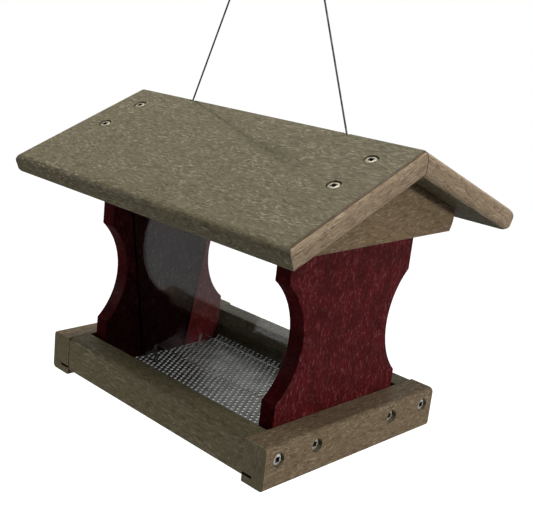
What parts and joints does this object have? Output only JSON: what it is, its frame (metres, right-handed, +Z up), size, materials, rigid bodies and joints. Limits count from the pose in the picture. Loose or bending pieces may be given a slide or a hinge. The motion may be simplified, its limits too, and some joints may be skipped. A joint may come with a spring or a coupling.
{
  "type": "hopper bird feeder",
  "caption": "Hanging hopper bird feeder with a lift-up gabled roof, waisted ends, clear leaning panes and a shallow tray with a perforated floor.",
  "frame": {"origin": "middle of the underside of the tray, on the surface that it can stand on", "axes": "+X along the ridge to the right end, +Y to the rear pane, +Z up to the hanging link"},
  "size_m": [0.275, 0.2268, 0.3995],
  "materials": {
    "driftwood_board": "grey-brown solid-colour board with fine streaks along its length",
    "red_board": "dark maroon board with pale vertical streaks",
    "clear_acrylic": "clear, polished",
    "perforated_sheet": "bare sheet with round holes",
    "screw_steel": "plated",
    "cable_steel": "stranded"
  },
  "bodies": {
    "base": {"tray_rail_right": "driftwood_board", "tray_rail_left": "driftwood_board", "tray_rail_front": "driftwood_board", "tray_rail_rear": "driftwood_board", "tray_screen": "perforated_sheet", "end_panel_right": "red_board", "end_panel_left": "red_board", "pane_front": "clear_acrylic", "pane_rear": "clear_acrylic", "rail_screw_front_left": "screw_steel", "rail_screw_front_right": "screw_steel", "rail_screw_rear_left": "screw_steel", "rail_screw_rear_right": "screw_steel", "panel_screw_front_left": "screw_steel", "panel_screw_front_right": "screw_steel", "panel_screw_rear_left": "screw_steel", "panel_screw_rear_right": "screw_steel", "cable_left_lower": "cable_steel", "cable_left_upper": "cable_steel", "cable_right_lower": "cable_steel", "cable_right_upper": "cable_steel", "cable_eye_left": "cable_steel", "cable_eye_right": "cable_steel", "crimp_sleeve_left": "screw_steel", "crimp_sleeve_right": "screw_steel", "cable_stop_left": "screw_steel", "cable_stop_right": "screw_steel", "hanging_link": "screw_steel"},
    "roof": {"roof_panel_front": "driftwood_board", "roof_panel_rear": "driftwood_board", "gable_right": "driftwood_board", "gable_left": "driftwood_board", "roof_screw_front_left_1": "screw_steel", "roof_screw_front_left_2": "screw_steel", "roof_screw_front_right_1": "screw_steel", "roof_screw_front_right_2": "screw_steel", "roof_screw_rear_left_1": "screw_steel", "roof_screw_rear_left_2": "screw_steel", "roof_screw_rear_right_1": "screw_steel", "roof_screw_rear_right_2": "screw_steel"}
  },
  "joints": [
    {"name": "roof_lift", "type": "slide", "parent": "base", "child": "roof", "axis": [0, 0, 1], "range_m": [0, 0.09], "deforming": ["cable_left_lower", "cable_right_lower", "cable_left_upper", "cable_right_upper"]}
  ]
}
